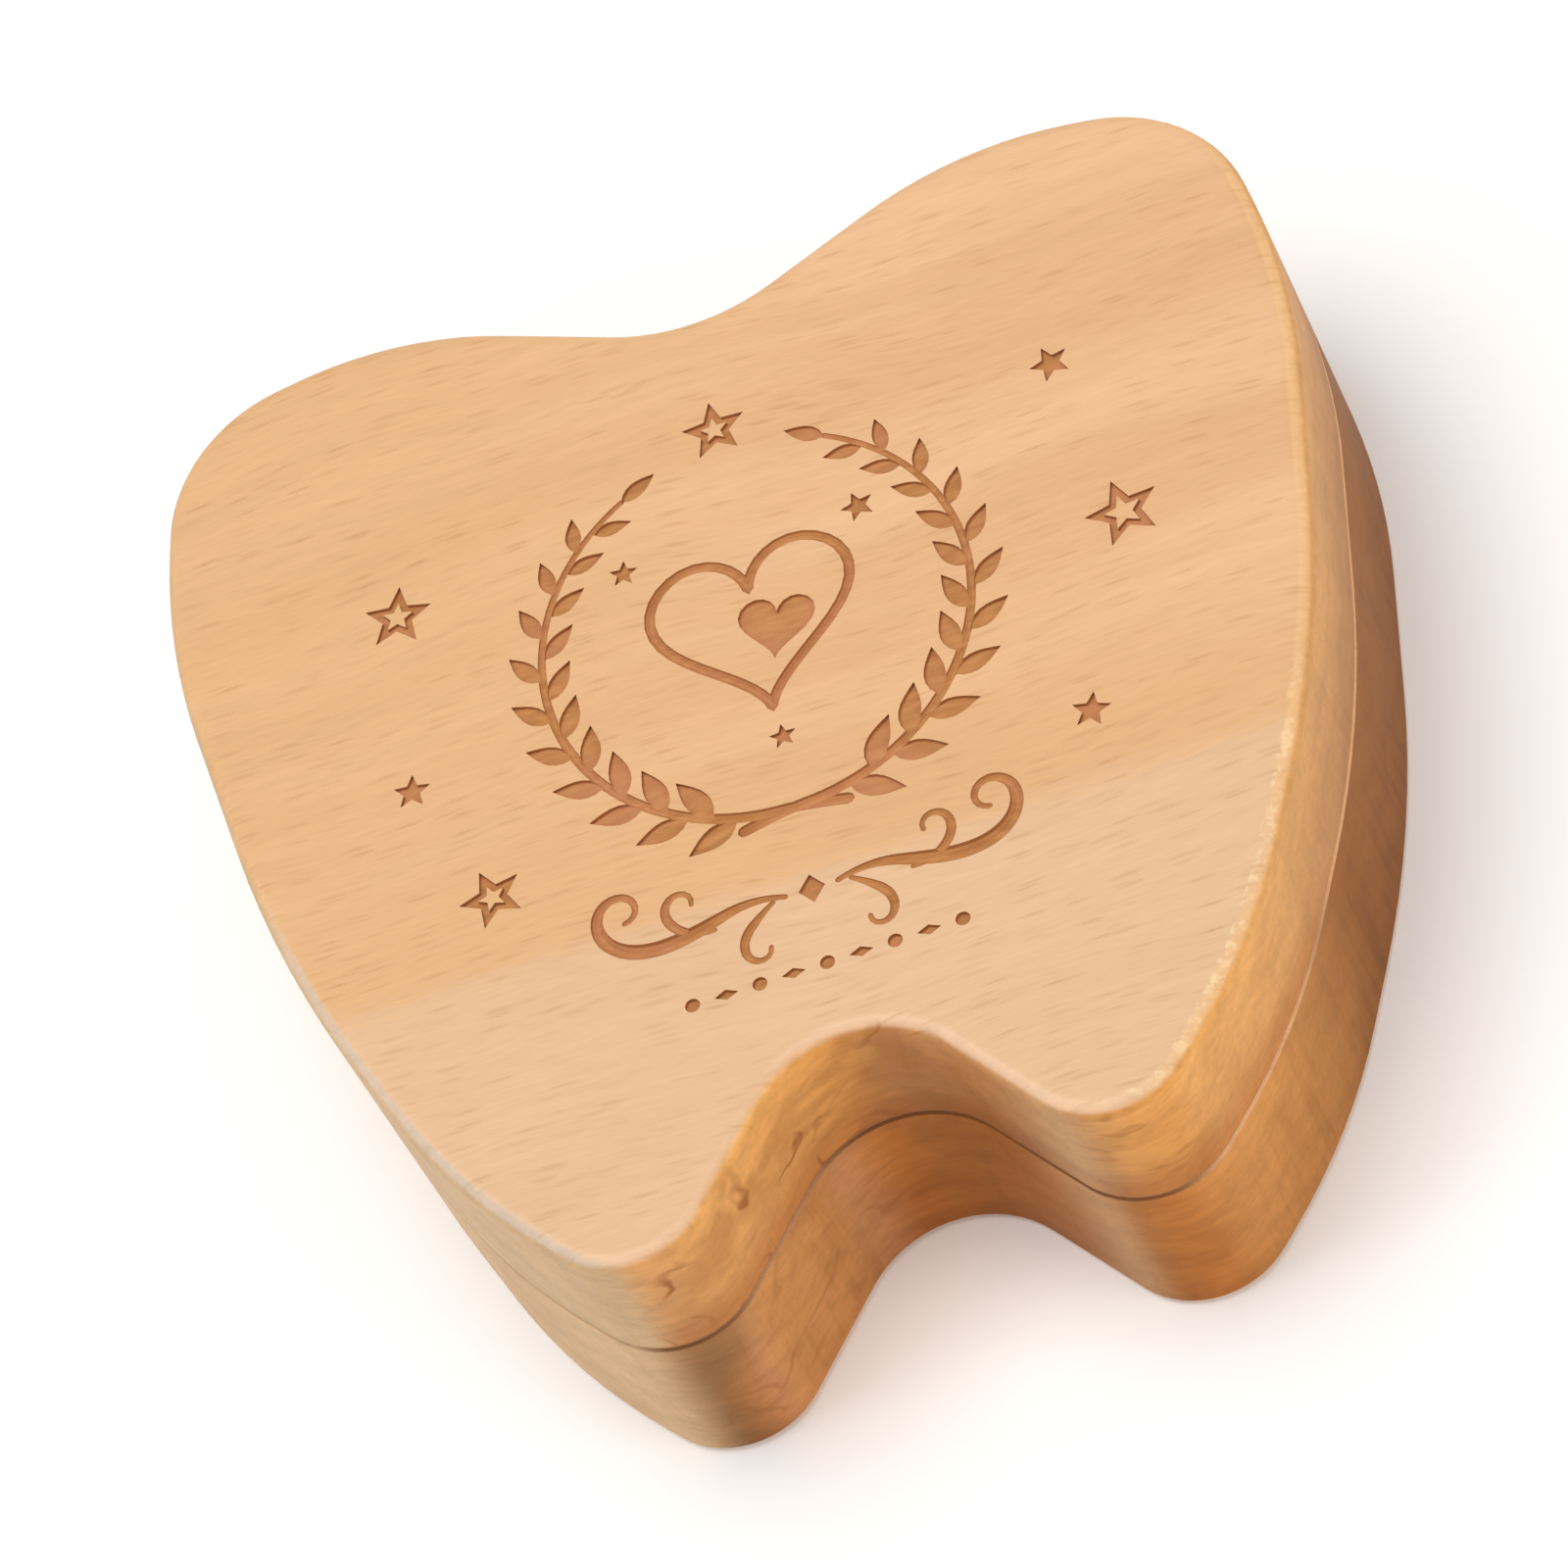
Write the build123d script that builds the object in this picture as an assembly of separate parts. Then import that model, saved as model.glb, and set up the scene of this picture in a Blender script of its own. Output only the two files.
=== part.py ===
from build123d import *
import os
from math import radians, tan

# Baby tooth box: a beech keepsake box with the outline of a molar, cut in two halves at a parting line.
# The lid swivels on a shoulder screw that stands in one crown cusp, and magnets in the roots hold it shut.
# Millimetres. The origin lies under the middle of the box on its underside, +Y points to the crown, +Z up.

# Closed box
box_width = 65.0
box_length = 63.2
base_height = 12.0
lid_height = 9.4
parting_gap = 0.2
top_edge_round = 1.0
bottom_edge_break = 0.5
mouth_edge_break = 0.15

# Corners of the outline's right half, from the crown dip round to the arch, as shares of half the width
# and half the length, and how far each corner's arc reaches along its shorter run, as a share of that run
outline_shares = [
    (0, 0.802),
    (0.512, 1.023),
    (0.939, 0.953),
    (1.016, 0.516),
    (0.916, -0.21),
    (0.688, -0.764),
    (0.405, -1.089),
    (0, -0.569),
]
round_shares = [0.281, 0.459, 0.46, 0.46, 0.46, 0.46, 0.44, 0.391]

# Tooth pocket, milled in both halves with one cutter
wall = 6.0
base_floor = 3.0
lid_roof = 4.5
cutter_radius = 3.0

# Pivot: its place as shares of half the width and half the length, and the wood left round it
pivot_shares = (-0.64, 0.65)
pivot_boss_radius = 7.5

# Shoulder screw, with its head in a counterbore of the underside
head_diameter = 7.0
head_height = 2.0
head_edge_break = 0.4
socket_width = 2.5
socket_depth = 1.2
shoulder_diameter = 4.0
thread_diameter = 3.0
thread_length = 6.0
thread_tip_break = 0.5
drill_point_room = 0.8
counterbore_depth = 3.4
running_clearance = 0.05
pivot_play = 0.05

# Washers: one under the screw's head, and a spacer let into the base that holds the parting gap open
head_washer_diameter = 8.0
head_washer_thickness = 0.5
counterbore_clearance = 0.5
spacer_diameter = 10.0
spacer_sink = 0.5
spacer_clearance = 0.1
washer_bore_clearance = 0.15

# Disc magnets in the root ends, a little below each parting face
magnet_shares = (0.475, -0.735)
magnet_diameter = 5.0
magnet_thickness = 2.0
magnet_edge_break = 0.2
magnet_sink = 0.15
magnet_clearance = 0.05
magnet_land = 2.0

# How far a cutting tool runs past the face it enters through
cut_overrun = 1.0

half_width = box_width / 2
half_length = box_length / 2
lid_bottom = base_height + parting_gap
lid_top = lid_bottom + lid_height
pivot_x = pivot_shares[0] * half_width
pivot_y = pivot_shares[1] * half_length
magnet_y = magnet_shares[1] * half_length
magnet_xs = {
    "left": -magnet_shares[0] * half_width,
    "right": magnet_shares[0] * half_width,
}


def disc(diameter, height):
    """Upright cylinder that stands on the origin."""
    return Cylinder(diameter / 2, height, align=(Align.CENTER, Align.CENTER, Align.MIN))


def tooth_outline():
    """Closed outline of straight runs and tangent arcs, mirrored about the Y axis."""
    right = [Vector(x * half_width, y * half_length) for x, y in outline_shares]
    left = [Vector(-corner.X, corner.Y) for corner in reversed(right[1:-1])]
    corners = right + left
    shares = round_shares + round_shares[-2:0:-1]
    radii = []
    for index, corner in enumerate(corners):
        run_in = corner - corners[index - 1]
        run_out = corners[(index + 1) % len(corners)] - corner
        half_turn = radians(run_in.get_angle(run_out)) / 2
        radii.append(shares[index] * min(run_in.length, run_out.length) / tan(half_turn))
    return make_face(FilletPolyline(*corners, radius=radii, close=True))


def pocket_outline():
    """What the cutter clears inside the wall, round the pivot's boss and short of the magnets."""
    path = offset(tooth_outline(), amount=-wall - cutter_radius)
    path -= Pos(pivot_x, pivot_y) * Circle(pivot_boss_radius + cutter_radius)
    path_end = magnet_y + magnet_diameter / 2 + magnet_land + cutter_radius
    path &= Pos(0, path_end) * Rectangle(box_width, box_length, align=(Align.CENTER, Align.MIN))
    widest = path.faces().sort_by(SortBy.AREA)[-1]
    return offset(widest, amount=cutter_radius)


def tooth_half(height, skin, ease, eased_by):
    """One half of the box, lying on its outer face with its mouth up."""
    half = extrude(tooth_outline(), amount=height)
    outer_face = half.faces().sort_by(Axis.Z)[0]
    half = ease(outer_face.edges(), eased_by)
    half -= Pos(0, 0, skin) * extrude(pocket_outline(), amount=height - skin + cut_overrun)
    mouth = half.faces().sort_by(Axis.Z)[-1]
    half = chamfer(mouth.edges(), mouth_edge_break)
    seat_depth = magnet_sink + magnet_thickness
    seat = disc(magnet_diameter + 2 * magnet_clearance, seat_depth + cut_overrun)
    for x in magnet_xs.values():
        half -= Pos(x, magnet_y, height - seat_depth) * seat
    return half


def base():
    """Lower half, with the screw's bore and counterbore and the spacer's recess."""
    half = tooth_half(base_height, base_floor, chamfer, bottom_edge_break)
    bore = disc(shoulder_diameter + 2 * running_clearance, base_height + cut_overrun)
    counterbore = disc(head_washer_diameter + 2 * counterbore_clearance, counterbore_depth + cut_overrun)
    recess = disc(spacer_diameter + 2 * spacer_clearance, spacer_sink + cut_overrun)
    half -= Pos(pivot_x, pivot_y, 0) * bore
    half -= Pos(pivot_x, pivot_y, -cut_overrun) * counterbore
    half -= Pos(pivot_x, pivot_y, base_height - spacer_sink) * recess
    return half


def lid():
    """Upper half, mouth down, with the blind hole that the screw bites in."""
    half = mirror(tooth_half(lid_height, lid_roof, fillet, top_edge_round), about=Plane.XY)
    half = Pos(0, 0, lid_top) * half
    hole = disc(thread_diameter, cut_overrun + thread_length + drill_point_room)
    half -= Pos(pivot_x, pivot_y, lid_bottom - cut_overrun) * hole
    return half


def pivot_screw():
    """Socket head below, shoulder that runs in the base, and the threaded end in the lid."""
    head_top = counterbore_depth - head_washer_thickness - pivot_play
    shoulder_length = lid_bottom - head_top
    head = disc(head_diameter, head_height)
    head = chamfer(head.edges().sort_by(Axis.Z)[0], head_edge_break)
    socket = RegularPolygon(socket_width / 2, 6, major_radius=False)
    head -= extrude(socket, amount=socket_depth)
    shoulder = Pos(0, 0, head_height) * disc(shoulder_diameter, shoulder_length)
    thread = disc(thread_diameter, thread_length)
    thread = chamfer(thread.edges().sort_by(Axis.Z)[-1], thread_tip_break)
    screw = head + shoulder + Pos(0, 0, head_height + shoulder_length) * thread
    return Pos(pivot_x, pivot_y, head_top - head_height) * screw


def washer(diameter, thickness, bottom):
    """Flat ring on the screw's shoulder."""
    ring = disc(diameter, thickness)
    ring -= disc(shoulder_diameter + 2 * washer_bore_clearance, thickness)
    return Pos(pivot_x, pivot_y, bottom) * ring


def magnet(x, bottom):
    """Disc magnet in a root end."""
    body = disc(magnet_diameter, magnet_thickness)
    body = chamfer(body.edges().filter_by(GeomType.CIRCLE), magnet_edge_break)
    return Pos(x, magnet_y, bottom) * body


pieces = {
    "base": base(),
    "lid": lid(),
    "pivot_screw": pivot_screw(),
    "head_washer": washer(head_washer_diameter, head_washer_thickness, counterbore_depth - head_washer_thickness),
    "spacer_washer": washer(spacer_diameter, spacer_sink + parting_gap, base_height - spacer_sink),
}
for side, x in magnet_xs.items():
    pieces[f"base_magnet_{side}"] = magnet(x, base_height - magnet_sink - magnet_thickness)
    pieces[f"lid_magnet_{side}"] = magnet(x, lid_bottom + magnet_sink)

os.makedirs("parts", exist_ok=True)
for name, piece in pieces.items():
    export_step(piece, f"parts/{name}.step")
print("pivot at", pivot_x, pivot_y, "magnets at", magnet_xs, magnet_y, "top at", lid_top)
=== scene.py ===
import math

import bpy
from mathutils import Matrix, Vector


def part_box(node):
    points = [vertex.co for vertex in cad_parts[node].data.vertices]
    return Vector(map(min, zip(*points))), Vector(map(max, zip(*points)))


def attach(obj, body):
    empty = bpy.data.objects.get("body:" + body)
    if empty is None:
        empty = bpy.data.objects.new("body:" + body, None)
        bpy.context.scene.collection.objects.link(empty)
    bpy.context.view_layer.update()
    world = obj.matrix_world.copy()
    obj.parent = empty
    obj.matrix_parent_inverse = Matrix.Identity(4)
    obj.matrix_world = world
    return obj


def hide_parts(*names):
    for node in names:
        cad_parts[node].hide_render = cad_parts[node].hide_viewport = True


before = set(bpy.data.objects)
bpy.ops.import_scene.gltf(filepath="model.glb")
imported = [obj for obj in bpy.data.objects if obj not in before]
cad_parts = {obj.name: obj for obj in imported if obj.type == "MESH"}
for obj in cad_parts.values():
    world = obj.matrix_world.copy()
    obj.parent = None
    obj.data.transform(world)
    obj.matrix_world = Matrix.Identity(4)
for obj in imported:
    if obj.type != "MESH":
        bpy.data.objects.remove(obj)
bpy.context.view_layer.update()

mm = 0.001
weldReach = 0.002 * mm    # corners of a mesh that lie nearer than this are one
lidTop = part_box("lid")[1][2]
print("frame loaded:", ", ".join(sorted(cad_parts)))


def dropSelection():
    bpy.ops.object.select_all(action="DESELECT")


def pickOnly(thing):
    dropSelection()
    thing.select_set(True)
    bpy.context.view_layer.objects.active = thing


def openMesh():
    # edit mode, with all of the active piece selected
    bpy.ops.object.mode_set(mode="EDIT")
    bpy.ops.mesh.select_all(action="SELECT")


def closeMesh():
    bpy.ops.object.mode_set(mode="OBJECT")


def applyModifier(thing, kind, **settings):
    pickOnly(thing)
    modifier = thing.modifiers.new(kind.lower(), kind)
    for name, value in settings.items():
        setattr(modifier, name, value)
    bpy.ops.object.modifier_apply(modifier=modifier.name)


def mergedCopy(nodeName, pieceName):
    # a CAD node's mesh is loose triangles, so a copy is welded before it is worked on
    piece = bpy.data.objects.new(pieceName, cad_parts[nodeName].data.copy())
    bpy.context.scene.collection.objects.link(piece)
    piece.data.materials.clear()
    pickOnly(piece)
    bpy.ops.mesh.customdata_custom_splitnormals_clear()
    openMesh()
    bpy.ops.mesh.remove_doubles(threshold=weldReach)
    closeMesh()
    return piece


def smoothOver(thing, angle):
    pickOnly(thing)
    bpy.ops.object.shade_smooth_by_angle(angle=math.radians(angle))
    applyModifier(thing, "WEIGHTED_NORMAL", mode="FACE_AREA", keep_sharp=True, weight=50)


def paint(red, green, blue):
    # a screen colour, 0 to 255, as the linear colour that a shader takes
    linear = []
    for part in (red / 255, green / 255, blue / 255):
        linear.append(part / 12.92 if part < 0.04045 else ((part + 0.055) / 1.055) ** 2.4)
    return (*linear, 1)


def newMaterial(name):
    material = bpy.data.materials.new(name)
    material.use_nodes = True
    return material, material.node_tree, material.node_tree.nodes["Principled BSDF"]


def addNode(tree, kind, inputs=None, **settings):
    node = tree.nodes.new("ShaderNode" + kind)
    for name, value in settings.items():
        setattr(node, name, value)
    for socket, value in (inputs or {}).items():
        if isinstance(value, bpy.types.NodeSocket):
            tree.links.new(value, node.inputs[socket])
        else:
            node.inputs[socket].default_value = value
    return node


def calc(tree, operation, a, b=0):
    return addNode(tree, "Math", {0: a, 1: b}, operation=operation).outputs[0]


def inverse(tree, value):
    return calc(tree, "SUBTRACT", 1, value)


def product(tree, *values):
    result = values[0]
    for value in values[1:]:
        result = calc(tree, "MULTIPLY", result, value)
    return result


def most(tree, *values):
    result = values[0]
    for value in values[1:]:
        result = calc(tree, "MAXIMUM", result, value)
    return result


def between(tree, value, low, high):
    # low where the value is 0, high where it is 1
    return calc(tree, "ADD", product(tree, value, high - low), low)


def aroundOne(tree, value, amount):
    # a factor that is 1 where the value is a half
    return calc(tree, "ADD", product(tree, calc(tree, "SUBTRACT", value, 0.5), amount), 1)


def rise(tree, value, low, high):
    # 0 below low, 1 above high, and a soft step between them
    return addNode(tree, "MapRange", {"Value": value, "From Min": low, "From Max": high},
                   interpolation_type="SMOOTHSTEP").outputs["Result"]


def fall(tree, value, low, high):
    return inverse(tree, rise(tree, value, low, high))


def mixColor(tree, factor, a, b, how="MIX"):
    return addNode(tree, "Mix", {0: factor, 6: a, 7: b}, data_type="RGBA", blend_type=how).outputs[2]


def evenGrey(tree, value):
    return addNode(tree, "CombineColor", {0: value, 1: value, 2: value}).outputs[0]


def addVectors(tree, a, b):
    return addNode(tree, "VectorMath", {0: a, 1: b}, operation="ADD").outputs[0]


def stretch(tree, spot, x, y, z):
    return addNode(tree, "VectorMath", {0: spot, 1: (x, y, z)}, operation="MULTIPLY").outputs[0]


def splitVector(tree, vector):
    return addNode(tree, "SeparateXYZ", {0: vector}).outputs


def inMillimetres(tree, place):
    return addNode(tree, "VectorMath", {0: place["Object"], "Scale": 1 / mm}, operation="SCALE").outputs[0]


def noise(tree, spot, scale, detail=2, roughness=0.5, distortion=0.0):
    inputs = {"Vector": stretch(tree, spot, *scale), "Scale": 1, "Detail": detail,
              "Roughness": roughness, "Distortion": distortion}
    return addNode(tree, "TexNoise", inputs).outputs


def pattern(tree, spot, step=None, **look):
    # a field from 0 to 1, sharpened over its step where it has one
    field = noise(tree, spot, **look)["Fac"]
    return rise(tree, field, *step) if step else field


def addBump(tree, shader, height, strength, depth):
    inputs = {"Strength": strength, "Distance": depth * mm, "Height": height}
    tree.links.new(addNode(tree, "Bump", inputs).outputs[0], shader.inputs["Normal"])


# Beech. The grain runs across the tooth, along X. Rays are thin ribbons that stand along Z: short dark
# flecks on the top, wider flakes on the crown and arch walls, fine upright lines on the end grain.

lidBeech = {
    "shift": (0, 0, 0),
    "heights": (12.2, 20.6),
    "faceLight": paint(229, 184, 140),
    "faceDark": paint(222, 174, 127),
    "crownTint": paint(220, 173, 122),
    "rootTint": paint(223, 184, 146),
    "wallLight": paint(231, 163, 86),
    "wallDark": paint(209, 141, 68),
    "archGlow": paint(252, 187, 103),
    "archShade": paint(192, 136, 83),
    "corner": paint(223, 162, 101),
    "tipFlank": (-0.05, 0.36),
    "seamShade": 0.85,
    "chatter": 0.15,
    "rightRoot": paint(238, 175, 102),
    "rightEndShade": paint(218, 161, 98),
    "rightGlow": 0.0,
    "leftEndCoolLight": paint(202, 165, 122),
    "rearWall": paint(226, 172, 114),
    "bottomShadeLevel": 0.76,
    "crownRightShade": 0.2,
    "rim": paint(238, 192, 138),
    "archRimHighlightAndShade": paint(234, 197, 164),
    "leftRimHighlight": paint(205, 187, 171),
    "rimHighlightAmount": 0.65,
    "burn": paint(160, 94, 38),
    "burnAmount": 1.0,
    "shine": 0.16,
}
baseBeech = {
    "shift": (37, 51, 23),
    "heights": (0, 12),
    "faceLight": paint(228, 182, 137),
    "faceDark": paint(218, 168, 122),
    "crownTint": paint(222, 173, 124),
    "rootTint": paint(225, 184, 146),
    # the base's walls are darker and browner than the lid's: partly a browner board, partly painted shade
    "wallLight": paint(199, 124, 55),
    "wallDark": paint(183, 110, 47),
    "archGlow": paint(225, 169, 123),
    "archShade": paint(174, 110, 50),
    "corner": paint(145, 104, 63),
    "tipFlank": (-0.05, 0.58),
    "seamShade": 0.0,
    "chatter": 0.45,
    "rightRoot": paint(212, 148, 81),
    "rightEndShade": paint(154, 96, 41),
    "rightGlow": 0.9,
    "leftEndCoolLight": paint(204, 166, 124),
    "rearWall": paint(212, 152, 96),
    "bottomShadeLevel": 0.82,
    "crownRightShade": 0.0,
    "rim": paint(244, 192, 146),
    "archRimHighlightAndShade": paint(118, 70, 34),
    "leftRimHighlight": paint(196, 160, 120),
    "rimHighlightAmount": 0.9,
    "burn": paint(138, 80, 34),
    "burnAmount": 0.35,
    "shine": 0.1,
}

# Cells of each pattern to a millimetre along X, Y and Z, and how fine and how sharp it is
woodPatterns = {
    "sway": {"scale": (0.03, 0.05, 0.05), "detail": 1},
    "bands": {"scale": (0.018, 0.15, 0.12), "detail": 3, "step": (0.36, 0.64)},
    "streaks": {"scale": (0.12, 1.6, 2.4), "detail": 4, "roughness": 0.62},
    "fibres": {"scale": (0.6, 7, 7)},
    "mottle": {"scale": (0.16, 0.2, 0.3), "detail": 4, "roughness": 0.6, "distortion": 0.4,
               "step": (0.3, 0.7)},
    "ringDrift": {"scale": (0.03, 0.09, 0.09)},
    "chatter": {"scale": (0.25, 1.2, 0.1), "detail": 3, "roughness": 0.65, "step": (0.45, 0.68)},
    "burr": {"scale": (1.3, 1.3, 1.3), "detail": 3, "roughness": 0.7, "step": (0.46, 0.62)},
    "veins": {"scale": (0.15, 0.15, 0.18), "roughness": 0.4, "distortion": 0.7},
    "unbroken": {"scale": (0.26, 0.26, 0.3), "detail": 1, "step": (0.38, 0.6)},
    "blotches": {"scale": (0.23, 0.23, 0.2), "detail": 1, "distortion": 0.4, "step": (0.44, 0.62)},
    "smears": {"scale": (0.2, 0.2, 0.5), "distortion": 0.3, "step": (0.5, 0.7)},
    "dashes": {"scale": (0.45, 0.45, 1.5), "detail": 1, "step": (0.56, 0.7)},
    "charred": {"scale": (0.5, 2.4, 2.4), "detail": 4, "roughness": 0.6},
    "warm": {"scale": (0.16, 0.16, 0.16), "detail": 1, "step": (0.45, 0.65)},
}
rays = [
    {"scale": (0.34, 2.6, 0.06), "size": 0.42, "weight": 1},
    {"scale": (0.24, 1.7, 0.09), "size": 0.34, "weight": 0.8},
]
rayCore = 0.2           # share of a ray's size that is fully dark
rayFaintest = 0.1       # cells weaker than this show none
grainSway = (0, 5, 3)   # millimetres over which the grain wanders
rings = {"heartY": -8, "heartZ": -45, "spacing": 2.6, "drift": 11, "sharpness": 2.5}

# Where one part of the box passes into the next: places along X, Y and Z in millimetres, and how far a
# surface faces up or down (Flat), right, left or to the rear, from -1 to 1
edges = {
    "wallFlat": (0.5, 0.95),
    "rimFlat": ((0.4, 0.75), (0.93, 0.999)),
    "rimZ": (2, 4),
    "rimRight": (-0.3, 0.4),
    "right": (0.4, 0.9),
    "rear": (-0.1, 0.6),
    "rootEndY": (-20, -15),
    "leftHalfX": (-12, 2),
    "farRootX": (6, 10),
    "flankLeft": (0.3, 0.72),
    "leftTipX": (-12.5, -8.5),
    "cornerZ": (6, 12),
    "cornerLeft": (-0.55, 0.1),
    "crownLeftX": (-18, 4),
    "crownLeftY": (-8, 8),
    "crownRightY": (-20, -6),
    "bandLeft": (0.12, 0.45),
    "bandY": (-8, 2),
    "rightRootX": (12, 18),
    "rightRootY": (-24, -16),
    "rightRootRight": (-0.2, 0.5),
    "rightEndY": (-29, -14),
    "archX": ((-6, 1), (10, 15)),
    "shadeLeft": (-0.35, 0.5),
    "glowX": ((-14, -7), (-6.5, -0.5)),
    "glowRight": (-0.4, 0.2),
    "seamZ": 12.1,
    "fromSeam": (0.3, 3.6),
    "rootTintY": (-12.8, -10.4),
    "duskY": (-9, 1),
    "burrFlat": ((0.45, 0.85), (0.985, 1)),
    "burrX": (11, 16),
    "burrY": (-14, -4),
    "burrZ": (19.2, 19.8),
}

# How strongly each tone shows, and the tints that the wood is multiplied by
tones = {
    "farRoot": 0.5,
    "cornerLift": 0.6,
    "crownLeft": 0.7,
    "dusk": 0.6,
    "nearRoots": 0.85,
    "toneSway": 2.2,                 # millimetres by which the streaks shift those two
    "rear": 0.7,
    "corner": 0.88,
    "seamTint": (0.78, 0.62, 0.46, 1),
    "chatterTint": (0.62, 0.54, 0.47, 1),
    "chatterAtTop": 0.3,
    "bottomShadeRed": 0.8,                   # a power that lets red fade less towards a wall's lower edge
    "cloud": 0.14,
    "glowRim": 0.6,
    "burr": 0.4,
    "burrHighlightColor": paint(255, 230, 184),
    "streaks": 0.18,
    "streaksOnWall": (0.24, 0.54),   # added to that on the sides, and at the rear
    "fibres": 0.14,
    "rings": (0.025, 0.05),          # on the top, and on the walls
    "betweenRings": 1.02,
    "fleck": 0.5,
    "fleckLostOnWall": 0.5,
    "fleckTint": (0.78, 0.68, 0.58, 1),
    "roughness": (0.44, 0.6),
    "relief": {"fibres": 0.5, "fleck": 0.5, "burr": 1.5},
    "bump": {"strength": 0.35, "depth": 0.06},
}

# Marks that the cutter burnt into the walls
scorch = {
    "veinWidth": 0.036,
    "veins": 0.9,
    "smears": 0.3,
    "blotches": 0.4,
    "blotchesFromTop": (-7, -2),
    "blotchesX": (-13.5, -10.5),
    "dashesFromTop": (-9, -6),
    "dashesX": (8, 12),
    "dashesLostOnRight": 0.85,
    "leftX": (0, 9),
    "onRightRoot": 0.4,
}


def rayFlecks(tree, spot, scale, size, weight):
    # spindles round the middles of stretched cells, each with its own strength
    cells = addNode(tree, "TexVoronoi", {"Vector": stretch(tree, spot, *scale), "Scale": 1}).outputs
    strength = addNode(tree, "SeparateColor", {0: cells["Color"]}).outputs[0]
    body = fall(tree, cells["Distance"], size * rayCore, size)
    return product(tree, body, rise(tree, strength, rayFaintest, 1.0), weight)


def boxZones(tree, facing, at, tipFlank):
    # how much a spot belongs to each part of the box, from 0 to 1
    flat = calc(tree, "ABSOLUTE", facing["Z"])
    toLeft = calc(tree, "MULTIPLY", facing["X"], -1)
    rootEnd = fall(tree, at["Y"], *edges["rootEndY"])
    leftHalf = fall(tree, at["X"], *edges["leftHalfX"])
    farRoot = product(tree, rise(tree, at["X"], *edges["farRootX"]), tones["farRoot"])
    flanks = product(tree, rise(tree, toLeft, *edges["flankLeft"]), most(tree, leftHalf, farRoot))
    leftTip = product(tree, fall(tree, at["X"], *edges["leftTipX"]), rootEnd)
    left = most(tree, flanks, product(tree, rise(tree, toLeft, *tipFlank), leftTip))
    right = rise(tree, facing["X"], *edges["right"])
    lifted = product(tree, rise(tree, at["Z"], *edges["cornerZ"]), tones["cornerLift"])
    turned = calc(tree, "ADD", toLeft, lifted)
    inArch = product(tree, rootEnd, rise(tree, at["X"], *edges["archX"][0]),
                     fall(tree, at["X"], *edges["archX"][1]))
    fromSeam = calc(tree, "ABSOLUTE", calc(tree, "SUBTRACT", at["Z"], edges["seamZ"]))
    return {
        "flat": flat,
        "wall": fall(tree, flat, *edges["wallFlat"]),
        "rim": product(tree, rise(tree, flat, *edges["rimFlat"][0]),
                       fall(tree, flat, *edges["rimFlat"][1])),
        "right": right,
        "left": left,
        "rear": rise(tree, facing["Y"], *edges["rear"]),
        "rootEnd": rootEnd,
        "crownLeft": product(tree, fall(tree, at["X"], *edges["crownLeftX"]),
                             rise(tree, at["Y"], *edges["crownLeftY"])),
        "crownRight": product(tree, right, rise(tree, at["Y"], *edges["crownRightY"])),
        "leftBand": product(tree, rise(tree, toLeft, *edges["bandLeft"]),
                            fall(tree, at["Y"], *edges["bandY"]), leftHalf),
        "corner": product(tree, rise(tree, turned, *edges["cornerLeft"]), leftTip),
        "rightRoot": product(tree, rise(tree, at["X"], *edges["rightRootX"]),
                             fall(tree, at["Y"], *edges["rightRootY"]),
                             rise(tree, facing["X"], *edges["rightRootRight"])),
        "shade": product(tree, rise(tree, toLeft, *edges["shadeLeft"]), inArch),
        "glow": product(tree, rootEnd, rise(tree, at["X"], *edges["glowX"][0]),
                        fall(tree, at["X"], *edges["glowX"][1]),
                        rise(tree, facing["X"], *edges["glowRight"])),
        "seam": product(tree, fall(tree, fromSeam, *edges["fromSeam"]), rootEnd, inverse(tree, left)),
    }


def growthRings(tree, spot):
    # rings round a heart that lies well below the box, as they show on all sides of a sawn board
    at = splitVector(tree, spot)
    across = calc(tree, "SUBTRACT", at["Y"], rings["heartY"])
    above = calc(tree, "SUBTRACT", at["Z"], rings["heartZ"])
    squares = calc(tree, "ADD", product(tree, across, across), product(tree, above, above))
    drift = product(tree, pattern(tree, spot, **woodPatterns["ringDrift"]), rings["drift"])
    turns = product(tree, calc(tree, "SQRT", squares), 2 * math.pi / rings["spacing"])
    wave = calc(tree, "SINE", calc(tree, "ADD", turns, drift))
    wave = calc(tree, "ADD", product(tree, wave, 0.5), 0.5)
    return calc(tree, "POWER", wave, rings["sharpness"])


def scorchMarks(tree, spot, at, zones, top):
    # wavy lines left by the cutter in the arch and on the roots, blotches under the upper edge, faint
    # smears and short dashes
    fromTop = calc(tree, "SUBTRACT", at["Z"], top)
    left = fall(tree, at["X"], *scorch["leftX"])
    fromVein = calc(tree, "SUBTRACT", pattern(tree, spot, **woodPatterns["veins"]), 0.5)
    veins = fall(tree, calc(tree, "ABSOLUTE", fromVein), 0, scorch["veinWidth"])
    veins = product(tree, veins, pattern(tree, spot, **woodPatterns["unbroken"]), left, scorch["veins"])
    smears = product(tree, pattern(tree, spot, **woodPatterns["smears"]), scorch["smears"])
    blotches = product(tree, pattern(tree, spot, **woodPatterns["blotches"]),
                       rise(tree, fromTop, *scorch["blotchesFromTop"]),
                       rise(tree, at["X"], *scorch["blotchesX"]), left, scorch["blotches"])
    dashes = product(tree, pattern(tree, spot, **woodPatterns["dashes"]),
                     rise(tree, at["X"], *scorch["dashesX"]), rise(tree, fromTop, *scorch["dashesFromTop"]),
                     inverse(tree, product(tree, zones["right"], scorch["dashesLostOnRight"])))
    reach = between(tree, left, scorch["onRightRoot"], 1)
    return product(tree, most(tree, veins, smears, dashes, blotches), zones["rootEnd"], reach,
                   inverse(tree, zones["left"]))


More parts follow.
